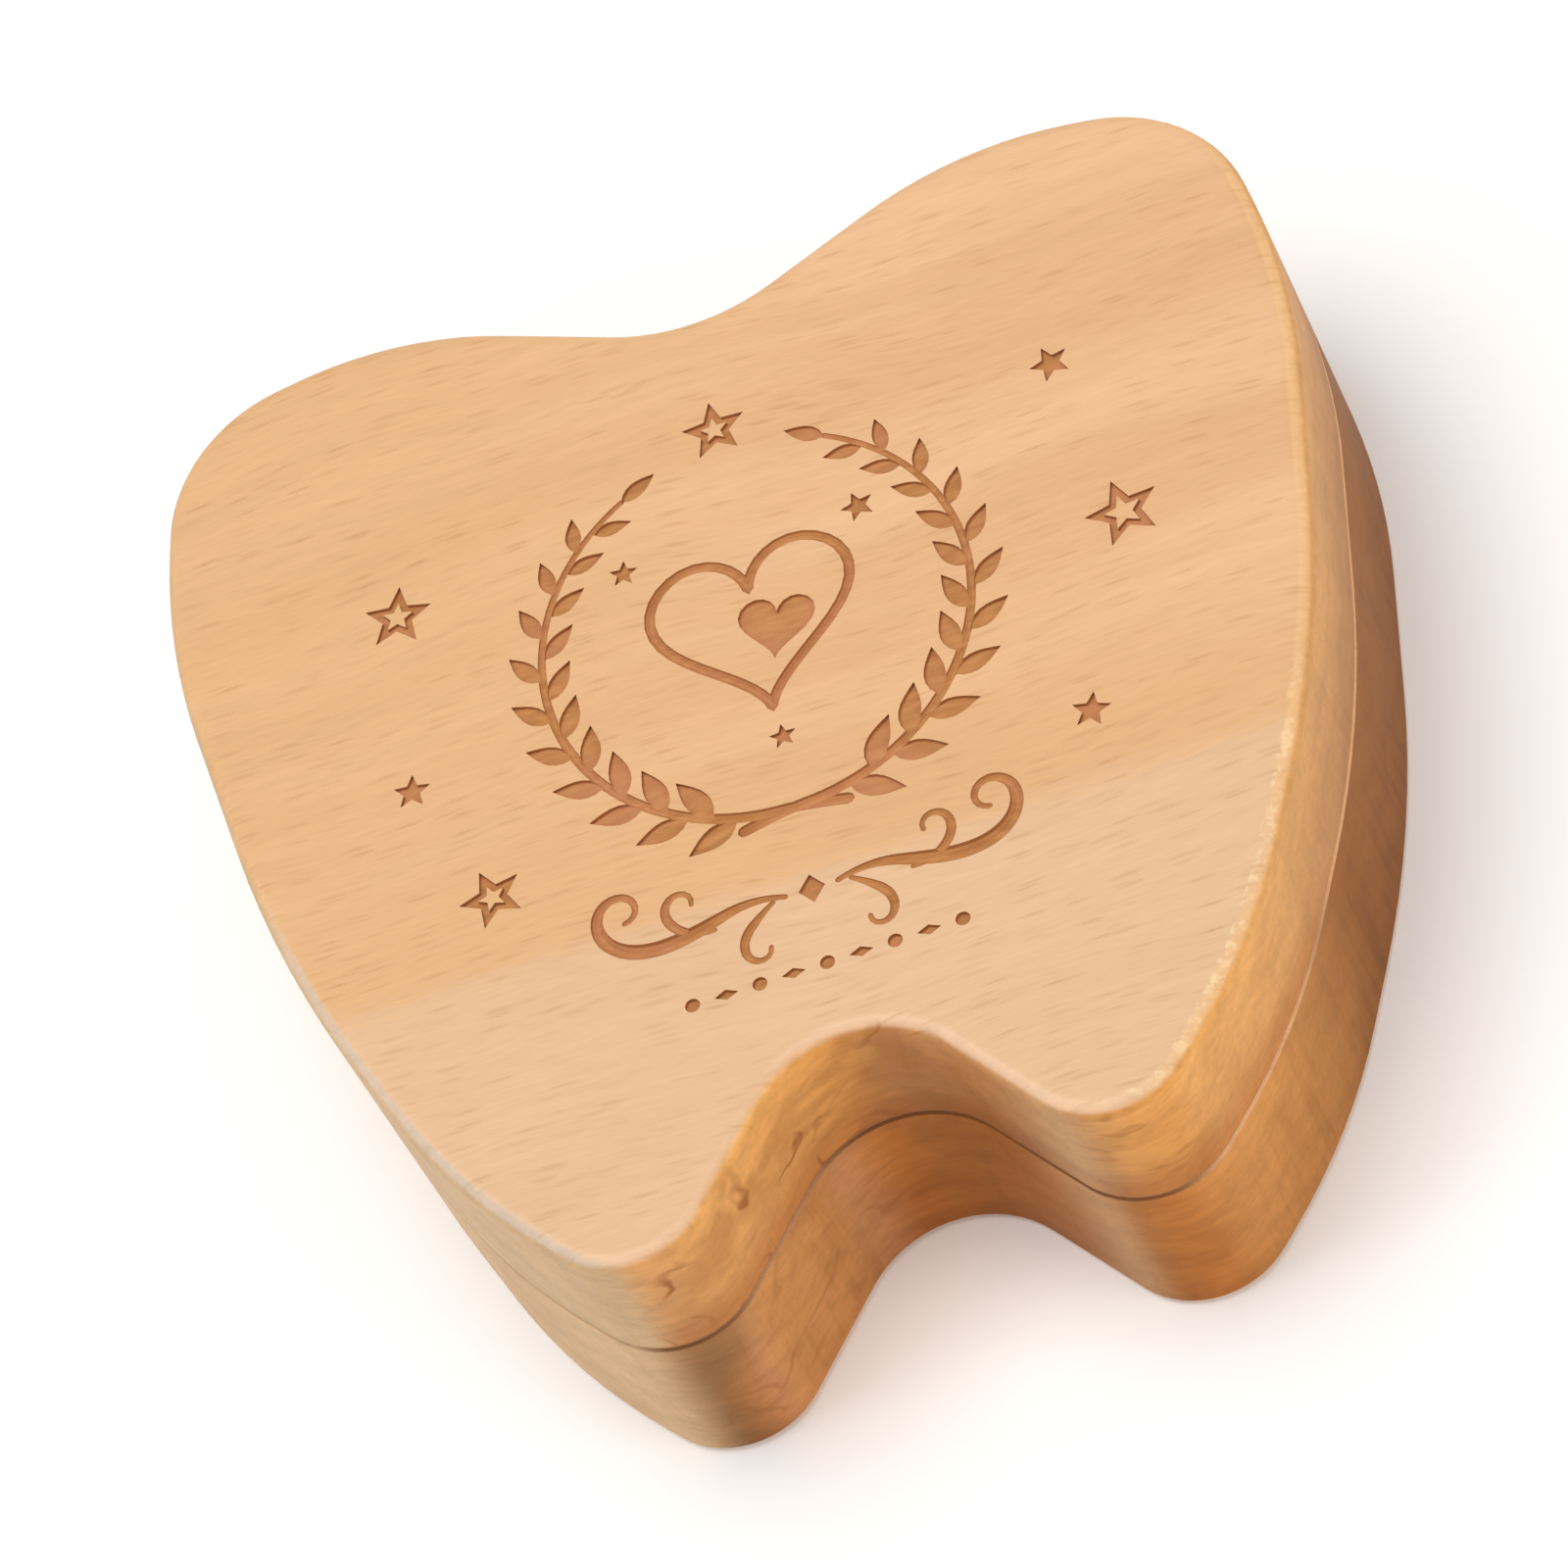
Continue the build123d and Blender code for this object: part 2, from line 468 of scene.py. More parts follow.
def faceColor(tree, look, at, zones, figure):
    # top and bottom, with an uneven line between the tones of the crown and the roots
    shift = product(tree, calc(tree, "SUBTRACT", figure["streaks"], 0.5), tones["toneSway"])
    y = calc(tree, "ADD", at["Y"], shift)
    nearRoots = fall(tree, y, *edges["rootTintY"])
    dusk = product(tree, inverse(tree, nearRoots), fall(tree, y, *edges["duskY"]))
    face = mixColor(tree, figure["bands"], look["faceDark"], look["faceLight"])
    face = mixColor(tree, product(tree, zones["crownLeft"], tones["crownLeft"]), face, look["crownTint"])
    face = mixColor(tree, product(tree, dusk, tones["dusk"]), face, look["crownTint"])
    return mixColor(tree, product(tree, nearRoots, tones["nearRoots"]), face, look["rootTint"])


def wallColor(tree, look, at, zones, figure):
    # walls, with painted shade that makes them darker towards their lower edge, and painted light and shade
    # in the arch, on both ends and at the left root's tip
    side = mixColor(tree, figure["mottle"], look["wallDark"], look["wallLight"])
    side = mixColor(tree, product(tree, zones["rear"], tones["rear"]), side, look["rearWall"])
    # painted light on the left root's inner wall in the arch, then painted shade on the arch walls that
    # face left
    side = mixColor(tree, zones["glow"], side, look["archGlow"])
    side = mixColor(tree, zones["shade"], side, look["archShade"])
    # painted light on the right root's walls, and painted shade on the right end towards the crown,
    # strongest on the base
    onRight = most(tree, zones["right"], product(tree, zones["rightRoot"], look["rightGlow"]))
    upRight = rise(tree, at["Y"], *edges["rightEndY"])
    side = mixColor(tree, onRight, side, mixColor(tree, upRight, look["rightRoot"], look["rightEndShade"]))
    # painted shade on the base's left root tip, growing towards the seam, and painted golden light on the
    # lid there
    side = mixColor(tree, product(tree, zones["corner"], tones["corner"]), side, look["corner"])
    # painted cool light on the walls that face left
    side = mixColor(tree, zones["left"], side, look["leftEndCoolLight"])
    nearSeam = product(tree, zones["seam"], look["seamShade"])
    side = mixColor(tree, nearSeam, side, tones["seamTint"], "MULTIPLY")
    bottom, top = look["heights"]
    down = addNode(tree, "MapRange", {"Value": at["Z"], "From Min": bottom, "From Max": top,
                                      "To Min": 1, "To Max": 0}).outputs["Result"]
    chatter = product(tree, figure["chatter"], zones["right"],
                      between(tree, down, tones["chatterAtTop"], 1), look["chatter"])
    side = mixColor(tree, chatter, side, tones["chatterTint"], "MULTIPLY")
    # painted shade: the walls darken towards their lower edge, more so at the right of the crown, but not
    # where they face left
    crownRightShade = product(tree, zones["crownRight"], look["crownRightShade"])
    low = inverse(tree, product(tree, down, calc(tree, "ADD", crownRightShade, 1 - look["bottomShadeLevel"])))
    bottomShadeRed = calc(tree, "POWER", low, tones["bottomShadeRed"])
    bottomShadeTint = addNode(tree, "CombineColor", {0: bottomShadeRed, 1: low, 2: low}).outputs[0]
    side = mixColor(tree, inverse(tree, zones["left"]), side, bottomShadeTint, "MULTIPLY")
    cloud = evenGrey(tree, aroundOne(tree, figure["mottle"], tones["cloud"]))
    return mixColor(tree, 1, side, cloud, "MULTIPLY")


def withRimLightAndShade(tree, look, color, at, facing, zones):
    # painted highlights on the eased edges where they catch the light, and in the arch a painted highlight
    # on the lid and painted shade on the base
    lit = most(tree, rise(tree, facing["X"], *edges["rimRight"]), zones["rootEnd"], zones["leftBand"])
    lit = product(tree, lit, inverse(tree, product(tree, zones["glow"], tones["glowRim"])), zones["rim"],
                  rise(tree, at["Z"], *edges["rimZ"]), look["rimHighlightAmount"])
    inArch = product(tree, zones["rootEnd"], inverse(tree, zones["right"]),
                     inverse(tree, zones["rightRoot"]))
    rim = mixColor(tree, inArch, look["rim"], look["archRimHighlightAndShade"])
    rim = mixColor(tree, zones["leftBand"], rim, look["leftRimHighlight"])
    return mixColor(tree, lit, color, rim)


def rootBurr(tree, real, at, zones):
    # a rough burr on the upper edge of the right root: its relief is real, its pale colour partly a painted
    # highlight
    onEdge = product(tree, rise(tree, zones["flat"], *edges["burrFlat"][0]),
                     fall(tree, zones["flat"], *edges["burrFlat"][1]))
    onRoot = product(tree, rise(tree, at["X"], *edges["burrX"]), fall(tree, at["Y"], *edges["burrY"]),
                     rise(tree, at["Z"], *edges["burrZ"]))
    return product(tree, pattern(tree, real, **woodPatterns["burr"]), onEdge, onRoot)


def fineTone(tree, spot, zones, figure):
    # light and dark of the streaks, the fibres and the growth rings
    onWall = product(tree, zones["wall"], between(tree, zones["rear"], *tones["streaksOnWall"]))
    grey = aroundOne(tree, figure["streaks"], calc(tree, "ADD", onWall, tones["streaks"]))
    grey = product(tree, grey, aroundOne(tree, figure["fibres"], tones["fibres"]))
    ringTone = product(tree, growthRings(tree, spot), between(tree, zones["wall"], *tones["rings"]))
    return evenGrey(tree, product(tree, grey, calc(tree, "SUBTRACT", tones["betweenRings"], ringTone)))


def swayedGrain(tree, spot):
    inputs = {
        0: noise(tree, spot, **woodPatterns["sway"])["Color"],
        1: grainSway,
        2: tuple(-part / 2 for part in grainSway),
    }
    aside = addNode(tree, "VectorMath", inputs, operation="MULTIPLY_ADD").outputs[0]
    return addVectors(tree, spot, aside)


def beech(name, look):
    material, tree, shader = newMaterial(name)
    place = addNode(tree, "TexCoord").outputs
    real = inMillimetres(tree, place)
    spot = swayedGrain(tree, addVectors(tree, real, look["shift"]))
    at = splitVector(tree, real)
    facing = splitVector(tree, place["Normal"])
    zones = boxZones(tree, facing, at, look["tipFlank"])
    wall = zones["wall"]

    figure = {"chatter": pattern(tree, real, **woodPatterns["chatter"])}
    for kind in ("bands", "streaks", "fibres", "mottle"):
        figure[kind] = pattern(tree, spot, **woodPatterns[kind])
    fleck = most(tree, *[rayFlecks(tree, spot, **ray) for ray in rays])
    fleck = product(tree, fleck, inverse(tree, product(tree, wall, tones["fleckLostOnWall"])))
    burr = rootBurr(tree, real, at, zones)

    face = faceColor(tree, look, at, zones, figure)
    color = mixColor(tree, wall, face, wallColor(tree, look, at, zones, figure))
    color = withRimLightAndShade(tree, look, color, at, facing, zones)
    color = mixColor(tree, product(tree, burr, tones["burr"]), color, tones["burrHighlightColor"])
    color = mixColor(tree, 1, color, fineTone(tree, spot, zones, figure), "MULTIPLY")
    color = mixColor(tree, product(tree, fleck, tones["fleck"]), color, tones["fleckTint"], "MULTIPLY")
    burn = product(tree, scorchMarks(tree, spot, at, zones, look["heights"][1]), wall, look["burnAmount"])
    tree.links.new(mixColor(tree, burn, color, look["burn"]), shader.inputs["Base Color"])

    rough = between(tree, figure["streaks"], *tones["roughness"])
    tree.links.new(rough, shader.inputs["Roughness"])
    shader.inputs["Specular IOR Level"].default_value = look["shine"]
    relief = tones["relief"]
    height = calc(tree, "SUBTRACT", product(tree, figure["fibres"], relief["fibres"]),
                  product(tree, fleck, relief["fleck"]))
    height = calc(tree, "ADD", height, product(tree, burr, relief["burr"]))
    addBump(tree, shader, height, **tones["bump"])
    return material


scorchLook = {
    "floorLight": paint(199, 139, 85),
    "floorDark": paint(181, 122, 71),
    "floorStep": (0.35, 0.65),
    "side": paint(172, 112, 64),
    "floorFlat": (0.35, 0.97),
    "pink": paint(202, 135, 96),
    "pinkAmount": 0.4,
    "roughness": 0.75,
    "shine": 0.2,
    "bump": {"strength": 0.4, "depth": 0.05},
}


def scorchedBeech(name, look):
    material, tree, shader = newMaterial(name)
    place = addNode(tree, "TexCoord").outputs
    spot = inMillimetres(tree, place)
    facing = splitVector(tree, place["Normal"])
    flat = rise(tree, calc(tree, "ABSOLUTE", facing["Z"]), *look["floorFlat"])
    char = pattern(tree, spot, **woodPatterns["charred"])
    floor = mixColor(tree, rise(tree, char, *look["floorStep"]), look["floorDark"], look["floorLight"])
    warm = product(tree, pattern(tree, spot, **woodPatterns["warm"]), look["pinkAmount"])
    floor = mixColor(tree, warm, floor, look["pink"])
    # painted shade: the groove's steep sides are darker than its floor
    tree.links.new(mixColor(tree, flat, look["side"], floor), shader.inputs["Base Color"])
    shader.inputs["Roughness"].default_value = look["roughness"]
    shader.inputs["Specular IOR Level"].default_value = look["shine"]
    addBump(tree, shader, char, **look["bump"])
    return material


hardwareLook = {
    "steel": {"color": paint(176, 176, 178), "roughness": 0.3, "lathe": 3.0},     # lathe marks a millimetre
    "nickel": {"color": paint(196, 193, 186), "roughness": 0.42, "lathe": 1.2},
    "nylon": {"color": paint(226, 222, 210), "roughness": 0.42, "cloud": 0.6, "paler": 1.08},
    "detail": 3,
    "markLength": 0.2,                 # cells across a mark, as a share of those along the axis
    "markShade": 0.8,
    "markRoughness": (-0.06, 0.08),    # added to the metal's own
    "markBump": {"strength": 0.2, "depth": 0.02},
}


def shaded(color, factor):
    return tuple(min(1, part * factor) for part in color[:3]) + (1,)


def metal(name, look):
    material, tree, shader = newMaterial(name)
    spot = inMillimetres(tree, addNode(tree, "TexCoord").outputs)
    across = look["lathe"] * hardwareLook["markLength"]
    marks = pattern(tree, spot, scale=(across, across, look["lathe"]), detail=hardwareLook["detail"])
    shader.inputs["Metallic"].default_value = 1
    dark = shaded(look["color"], hardwareLook["markShade"])
    tree.links.new(mixColor(tree, marks, dark, look["color"]), shader.inputs["Base Color"])
    rough = between(tree, marks, *[look["roughness"] + added for added in hardwareLook["markRoughness"]])
    tree.links.new(rough, shader.inputs["Roughness"])
    addBump(tree, shader, marks, **hardwareLook["markBump"])
    return material


def nylon(name, look):
    material, tree, shader = newMaterial(name)
    spot = inMillimetres(tree, addNode(tree, "TexCoord").outputs)
    cloud = pattern(tree, spot, scale=[look["cloud"]] * 3, detail=hardwareLook["detail"])
    pale = shaded(look["color"], look["paler"])
    tree.links.new(mixColor(tree, cloud, look["color"], pale), shader.inputs["Base Color"])
    shader.inputs["Roughness"].default_value = look["roughness"]
    return material


beechLid = beech("beechLid", lidBeech)
beechBase = beech("beechBase", baseBeech)
scorched = scorchedBeech("scorchedBeech", scorchLook)
steel = metal("turnedSteel", hardwareLook["steel"])
nickel = metal("nickelPlate", hardwareLook["nickel"])
nylonWhite = nylon("naturalNylon", hardwareLook["nylon"])
print("materials made")


# Engraving on the lid. Places and sizes are millimetres on the lid's top, +Y to the crown, and turns and
# headings are degrees.

engraving = {
    "depth": 0.24,
    "overrun": 0.5,                              # how far a cutter stands out above the lid
    "weld": 0.001,
    "smoothAngle": 32,
    "line": 0.65,
    "grooveLift": 0.12,                          # raises its middle, as a share of half its width
    "noseSteps": ((0.7, 0.72), (1.0, 0.12)),     # how far out and how wide a groove's nose is, as shares
    "centre": (0, 5.0),
    "wreathRadius": 12.2,
    "wreathArc": (-103, 164),                    # where a branch starts and how far it sweeps
    "wreathSteps": 54,
    "stemWidths": (0.75, 0.35),
    "stemCross": (0.9, 0.1),                     # how far its foot stands out, and over which share of it
    "leavesPerBranch": 10,
    "leafSize": (3.3, 1.35),
    "leafLean": 38,
    "leafSpread": (0.17, 0.80),                  # shares of the branch before the first leaf and under all
    "leafOffset": 0.15,
    "leafShrink": 0.35,
    "tipLeaf": 0.74,
    "heartWidth": 11.5,
    "littleHeart": ((1.1, 4.5), 4.4, -12, 32),   # centre, width, turn and points
    "starInner": 0.45,
    "starLine": 0.42,
    "innerStars": [((-6.6, 11.0), 0.85, 10), ((6.9, 10.4), 1.0, -12), ((0.2, -2.6), 0.8, 0)],
    "openStars": [((0, 18.4), 1.9, 0), ((-19.5, 13.0), 2.0, 12), ((21.0, 4.5), 2.2, -8),
                  ((-17.2, -6.8), 1.9, -14)],
    "solidStars": [((19.0, 15.5), 1.2, -15), ((-20.5, 1.5), 1.1, 10), ((16.8, -7.2), 1.15, 18)],
    "scrollCentre": (0, -12.6),
    "scrollLines": [
        # press: thin width, thick width, and the share of the line where it is thickest
        {"start": (1.5, 0), "heading": 20, "press": (0.35, 1.0, 0.42),
         "runs": [(3.4, -0.16, -0.20), (5.2, -0.04, 0.24), (3.6, 0.26, 0.55), (4.4, 0.6, 1.35)]},
        {"start": (5.6, -0.65), "heading": -8, "press": (0.3, 0.6, 0.4),
         "runs": [(1.6, 0.5, 0.3), (2.2, 0.3, 0.8), (2.4, 0.9, 1.7)]},
        {"start": (2.2, -0.1), "heading": -32, "press": (0.3, 0.6, 0.4),
         "runs": [(1.8, -0.1, -0.1), (2.0, -0.3, -0.9), (1.8, -1.0, -1.9)]},
    ],
    "lozenge": (0.75, 0.9),
    "beadRow": -17.4,
    "beadPitch": 1.9,
    "beadsAndReels": 9,
    "beadRadius": 0.42,
    "reel": (0.68, 0.32),
}


def starPoints(centre, radius, turn, inner):
    # five tips, and between them corners at the inner share of the radius
    points = []
    for i in range(10):
        angle = math.radians(turn + i * 36)
        reach = radius if i % 2 == 0 else radius * inner
        points.append((centre[0] + reach * math.sin(angle), centre[1] + reach * math.cos(angle)))
    return points


def heartPoints(centre, width, turn=0, count=56):
    # the heart curve of sines and cosines, which is 32 wide in its own units
    scale, tilt, points = width / 32, math.radians(turn), []
    for i in range(count):
        t = 2 * math.pi * i / count
        level = 13 * math.cos(t) - 5 * math.cos(2 * t) - 2 * math.cos(3 * t) - math.cos(4 * t)
        x, y = scale * 16 * math.sin(t) ** 3, scale * (level + 1.5)
        points.append((centre[0] + x * math.cos(tilt) - y * math.sin(tilt),
                       centre[1] + x * math.sin(tilt) + y * math.cos(tilt)))
    return points


def leafPoints(base, heading, length, width, count=7):
    points = []
    for way, steps in ((1, range(count + 1)), (-1, range(count - 1, 0, -1))):
        for i in steps:
            along = i / count
            across = way * width / 2 * math.sin(math.pi * along ** 0.8) if 0 < i < count else 0
            points.append((base[0] + along * length * math.cos(heading) - across * math.sin(heading),
                           base[1] + along * length * math.sin(heading) + across * math.cos(heading)))
    return points


def lozengePoints(x, y, halfWidth, halfHeight):
    return [(x, y + halfHeight), (x - halfWidth, y), (x, y - halfHeight), (x + halfWidth, y)]


def roundPoints(x, y, radius, count=16):
    angles = [2 * math.pi * i / count for i in range(count)]
    return [(x + radius * math.cos(angle), y + radius * math.sin(angle)) for angle in angles]


def bentLine(start, heading, runs, step=0.3):
    # a pen line whose bend changes evenly along each run: (length, bend at its start, bend at its end)
    points, (x, y), heading = [start], start, math.radians(heading)
    for length, firstBend, lastBend in runs:
        count = max(2, round(length / step))
        for i in range(count):
            heading += (firstBend + (lastBend - firstBend) * (i + 0.5) / count) * length / count
            x, y = x + math.cos(heading) * length / count, y + math.sin(heading) * length / count
            points.append((x, y))
    return points


def swell(count, thin, thick, peak):
    # pen pressure: thin at both ends and thickest at the peak share of the line
    widths = []
    for i in range(count):
        along = i / (count - 1)
        press = along / peak if along < peak else (1 - along) / (1 - peak)
        widths.append(thin + (thick - thin) * math.sin(press * math.pi / 2) ** 1.5)
    return widths


def newOutline(points, look, fill):
    # a ring of points at the bottom of the cut, left in edit mode with all of it selected
    dropSelection()
    bpy.ops.mesh.primitive_circle_add(vertices=len(points), radius=mm, fill_type=fill)
    outline = bpy.context.object
    for vertex, (x, y) in zip(outline.data.vertices, points):
        vertex.co = (x * mm, y * mm, lidTop - look["depth"] * mm)
    openMesh()
    return outline


def drawUp(look):
    height = (look["depth"] + look["overrun"]) * mm
    bpy.ops.mesh.extrude_region_move(TRANSFORM_OT_translate={"value": (0, 0, height)})
    closeMesh()


def flatCutter(points, look):
    cutter = newOutline(points, look, "NGON")
    drawUp(look)
    return cutter


def openStarCutter(centre, radius, turn, look):
    # the star's outer line, drawn in to an inner star, so that an island of wood stays in its middle
    points = starPoints(centre, radius, turn, look["starInner"])
    side = (Vector(points[0]) - Vector(points[1])).length
    fromMiddle = radius * radius * look["starInner"] * math.sin(math.radians(36)) / side
    share = 1 - look["starLine"] / fromMiddle
    middle = (centre[0] * mm, centre[1] * mm, lidTop - look["depth"] * mm)
    cutter = newOutline(points, look, "NOTHING")
    bpy.ops.mesh.extrude_edges_move(TRANSFORM_OT_translate={"value": (0, 0, 0)})
    bpy.ops.transform.resize(value=(share, share, 1), center_override=middle)
    bpy.ops.mesh.select_all(action="SELECT")
    drawUp(look)
    return cutter


def roundedEnds(points, widths, steps):
    # short steps that draw a groove's end in to a round nose
    for place, nextTo in ((0, 1), (-1, -2)):
        end, inside = Vector(points[place]), Vector(points[nextTo])
        out = (end - inside).normalized() * widths[place] / 2
        for share, shrink in steps:
            spot, width = tuple(end + out * share), widths[place] * shrink
            spotAt = 0 if place == 0 else len(points)
            points.insert(spotAt, spot)
            widths.insert(spotAt, width)


def strokeCutter(points, widths, look, closed=False):
    # a round-nosed groove: its middle lies a little above the surface, so its sides lean out
    if not closed:
        roundedEnds(points, widths, look["noseSteps"])
    curve = bpy.data.curves.new("stroke", "CURVE")
    curve.dimensions = "3D"
    curve.bevel_depth = 0.5 * mm    # one millimetre wide, times the width at each point
    curve.bevel_resolution = 3
    curve.use_fill_caps = not closed
    spline = curve.splines.new("POLY")
    spline.points.add(len(points) - 1)
    spline.use_cyclic_u = closed
    for spot, (x, y), width in zip(spline.points, points, widths):
        spot.co = (x * mm, y * mm, lidTop + look["grooveLift"] * width / 2 * mm, 1)
        spot.radius = width
    cutter = bpy.data.objects.new("stroke", curve)
    bpy.context.scene.collection.objects.link(cutter)
    pickOnly(cutter)
    bpy.ops.object.convert(target="MESH")
    return bpy.context.object


def cutStem(look, side):
    (cx, cy), (start, sweep), (crossOut, crossShare) = look["centre"], look["wreathArc"], look["stemCross"]
    foot, tip = look["stemWidths"]
    points, widths = [], []
    for i in range(look["wreathSteps"] + 1):
        along = i / look["wreathSteps"]
        angle = math.radians(start + along * sweep)
        reach = look["wreathRadius"] + crossOut * max(0, 1 - along / crossShare) ** 2
        points.append((cx + side * reach * math.cos(angle), cy + reach * math.sin(angle)))
        widths.append(foot * (1 - along) + tip * along)
    return strokeCutter(points, widths, look)


def branchLeaves(look):
    # base, heading and size of each leaf, in pairs along the branch, and of one at its tip
    radius, (start, sweep), count = look["wreathRadius"], look["wreathArc"], look["leavesPerBranch"]
    firstLeaf, spread = look["leafSpread"]
    leaves = []
    for k in range(count):
        size = 1 - look["leafShrink"] * k / count
        for out, shift in ((1, 0), (-1, 0.5)):
            along = firstLeaf + (k + shift) * spread / count
            angle = math.radians(start + along * sweep)
            reach = radius + look["leafOffset"] * out
            base = (reach * math.cos(angle), reach * math.sin(angle))
            leaves.append((base, angle + math.pi / 2 - out * math.radians(look["leafLean"]), size))
    tip = math.radians(start + sweep)
    leaves.append(((radius * math.cos(tip), radius * math.sin(tip)), tip + math.pi / 2, look["tipLeaf"]))
    return leaves


def cutWreath(look):
    (cx, cy), (length, width) = look["centre"], look["leafSize"]
    cutters = []
    for side in (1, -1):
        cutters.append(cutStem(look, side))
        for base, heading, size in branchLeaves(look):
            leaf = leafPoints(base, heading, length * size, width * size)
            cutters.append(flatCutter([(cx + side * x, cy + y) for x, y in leaf][::side], look))
    return cutters


def cutHearts(look):
    outline = heartPoints(look["centre"], look["heartWidth"])
    return [strokeCutter(outline, [look["line"]] * len(outline), look, closed=True),
            flatCutter(heartPoints(*look["littleHeart"]), look)]


def cutStars(look):
    cutters = []
    for star in look["innerStars"] + look["solidStars"]:
        cutters.append(flatCutter(starPoints(*star, look["starInner"]), look))
    for star in look["openStars"]:
        cutters.append(openStarCutter(*star, look))
    return cutters


def cutScroll(look):
    cx, cy = look["scrollCentre"]
    cutters = []
    for side in (1, -1):
        for line in look["scrollLines"]:
            bent = bentLine(line["start"], line["heading"], line["runs"])
            points = [(cx + side * x, cy + y) for x, y in bent]
            cutters.append(strokeCutter(points, swell(len(points), *line["press"]), look))
    cutters.append(flatCutter(lozengePoints(cx, cy, *look["lozenge"]), look))
    return cutters


def cutBeads(look):
    # beads and reels by turns, the same to both sides of the middle bead
    cutters = []
    half = look["beadsAndReels"] // 2
    for i in range(-half, half + 1):
        x, y = i * look["beadPitch"], look["beadRow"]
        if i % 2 == 0:
            cutters.append(flatCutter(roundPoints(x, y, look["beadRadius"]), look))
        else:
            cutters.append(flatCutter(lozengePoints(x, y, *look["reel"]), look))
    return cutters


def engravingTool(look):
    # all cutters as one piece
    cutters = cutWreath(look) + cutHearts(look) + cutStars(look) + cutScroll(look) + cutBeads(look)
    print("engraving drawn with", len(cutters), "cutters")
    dropSelection()
    for cutter in cutters:
        cutter.select_set(True)
    bpy.context.view_layer.objects.active = cutters[0]
    bpy.ops.object.join()
    tool = bpy.context.object
    openMesh()
    bpy.ops.mesh.remove_doubles(threshold=look["weld"] * mm)
    bpy.ops.mesh.normals_make_consistent(inside=False)
    closeMesh()
    tool.data.materials.clear()
    tool.data.materials.append(scorched)
    return tool


def engraveLid(look):
    tool = engravingTool(look)
    lid = mergedCopy("lid", "lid_engraved")
    lid.data.materials.append(beechLid)
    applyModifier(lid, "BOOLEAN", operation="DIFFERENCE", solver="EXACT", object=tool,
                  use_self=True, material_mode="TRANSFER")
    bpy.data.objects.remove(tool)
    openMesh()
    bpy.ops.mesh.dissolve_degenerate(threshold=weldReach)
    closeMesh()
    smoothOver(lid, look["smoothAngle"])
    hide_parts("lid")
    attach(lid, "lid")
    return lid


lid = engraveLid(engraving)
print("lid engraved:", len(lid.data.polygons), "faces, materials", [m.name for m in lid.data.materials])


def coat(nodeName, material):
    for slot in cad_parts[nodeName].material_slots:
        slot.material = material


coat("base", beechBase)
coat("pivot_screw", steel)
coat("head_washer", steel)
coat("spacer_washer", nylonWhite)
for side in ("left", "right"):
    coat("base_magnet_" + side, nickel)
    coat("lid_magnet_" + side, nickel)
print("base and hardware finished")


# Where the photograph was taken from, in the box's own frame
cameraSetup = {
    "azimuth": 14.96,        # degrees round from the roots' side
    "elevation": 54.20,
    "roll": -30.26,
    "aim": (-2.08 * mm, 1.07 * mm, 12.0 * mm),
    "distance": 516.8 * mm,
    "lens": 216.4,
    "sensor": 36,
    "nearest": 10 * mm,
}


def makeCamera(setup):
    azimuth, elevation, roll = (math.radians(setup[k]) for k in ("azimuth", "elevation", "roll"))
    outwards, upwards = math.cos(elevation), math.sin(elevation)
    back = Vector((math.sin(azimuth) * outwards, -math.cos(azimuth) * outwards, upwards))
    level = Vector((math.cos(azimuth), math.sin(azimuth), 0))
    upright = back.cross(level)
    right = level * math.cos(roll) + upright * math.sin(roll)
    up = upright * math.cos(roll) - level * math.sin(roll)
    bpy.ops.object.camera_add()
    camera = bpy.context.object
    camera.name = "camera"
    place = Vector(setup["aim"]) + back * setup["distance"]
    turn = Matrix((right, up, back)).transposed()
    camera.matrix_world = Matrix.Translation(place) @ turn.to_4x4()
    camera.data.lens = setup["lens"]
    camera.data.sensor_width = setup["sensor"]
    camera.data.clip_start = setup["nearest"]
    bpy.context.scene.camera = camera


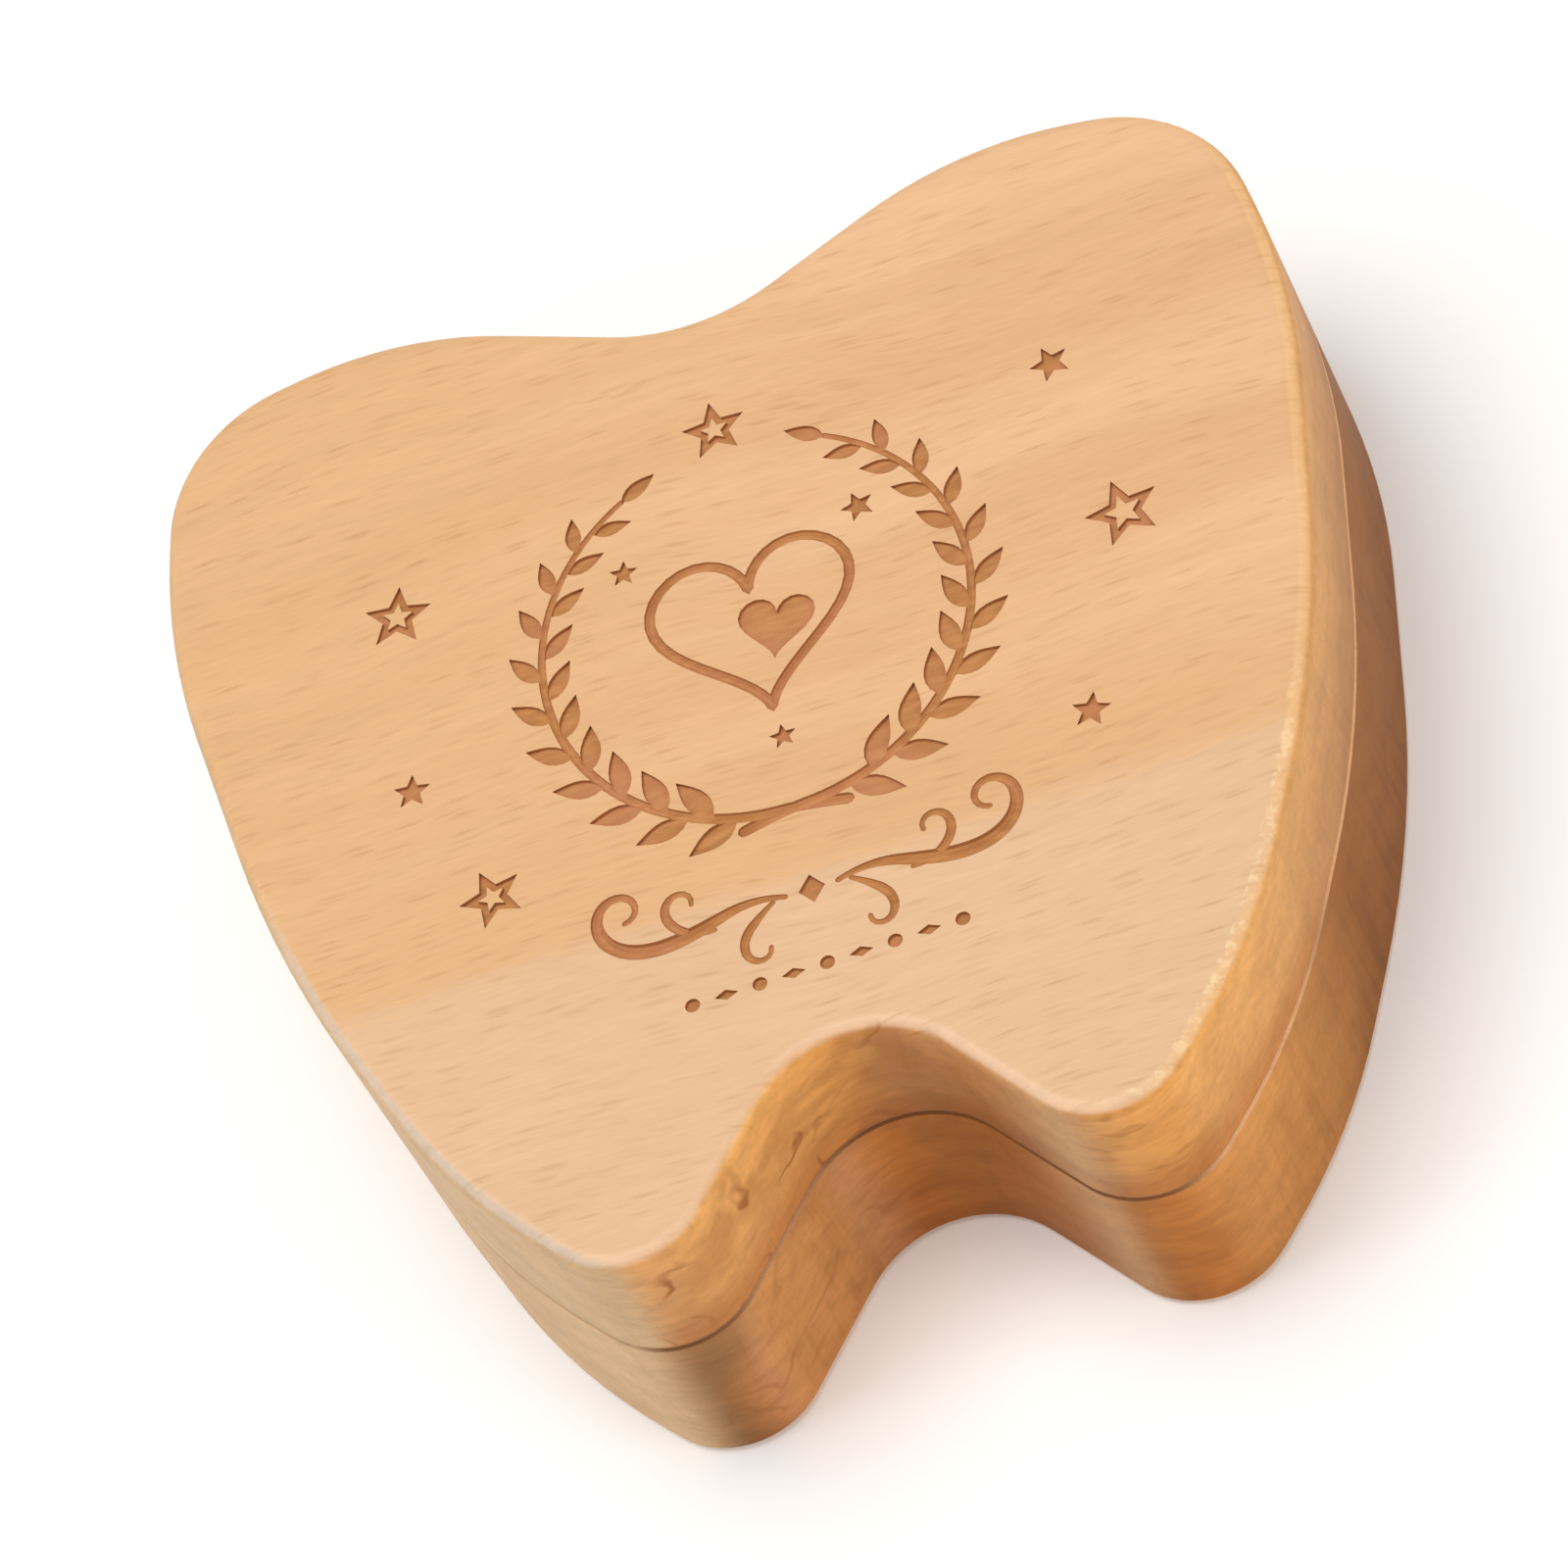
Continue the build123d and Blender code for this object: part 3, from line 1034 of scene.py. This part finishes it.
studio = {
    "floor": (0.95, 0.95, 0.95, 1),
    "floorSize": 3,
    "floorDrop": 0.05 * mm,
    "floorRoughness": 0.9,
    "floorGlow": 0.08,
    "world": 0.46,
    "lamps": [
        # name, place in metres, size, watts, colour
        ("overhead", (-0.10, 0.05, 0.72), 0.50, 3.1, (1.0, 0.99, 0.98)),
        ("coolLeft", (-0.66, -0.14, 0.18), 0.25, 1.1, (0.84, 0.93, 1.0)),
        ("warmRight", (0.50, -0.36, 0.28), 0.30, 1.0, (1.0, 0.88, 0.72)),
    ],
}


def makeFloor(setup):
    dropSelection()
    bpy.ops.mesh.primitive_plane_add(size=setup["floorSize"], location=(0, 0, -setup["floorDrop"]))
    floor = bpy.context.object
    floor.name = "floor"
    # open from below, so that the underside of the box can be looked at
    material, tree, shader = newMaterial("whiteFloor")
    under = addNode(tree, "NewGeometry").outputs["Backfacing"]
    clear = addNode(tree, "BsdfTransparent").outputs[0]
    oneSided = addNode(tree, "MixShader", {0: under, 1: shader.outputs[0], 2: clear}).outputs[0]
    tree.links.new(oneSided, tree.nodes["Material Output"].inputs["Surface"])
    shader.inputs["Base Color"].default_value = setup["floor"]
    shader.inputs["Roughness"].default_value = setup["floorRoughness"]
    shader.inputs["Specular IOR Level"].default_value = 0.0
    shader.inputs["Emission Color"].default_value = (1, 1, 1, 1)
    shader.inputs["Emission Strength"].default_value = setup["floorGlow"]
    floor.data.materials.append(material)


def makeLight(setup):
    for name, place, size, watts, color in setup["lamps"]:
        bpy.ops.object.light_add(type="AREA", location=place)
        lamp = bpy.context.object
        lamp.name = name
        lamp.rotation_euler = (-Vector(place)).to_track_quat("-Z", "Y").to_euler()
        lamp.data.size = size
        lamp.data.energy = watts
        lamp.data.color = color
    world = bpy.data.worlds.new("studioAir")
    bpy.context.scene.world = world
    world.use_nodes = True
    world.node_tree.nodes["Background"].inputs["Color"].default_value = (1, 1, 1, 1)
    world.node_tree.nodes["Background"].inputs["Strength"].default_value = setup["world"]
    bpy.context.scene.view_settings.view_transform = "Standard"


makeCamera(cameraSetup)
makeFloor(studio)
makeLight(studio)
print("studio set")
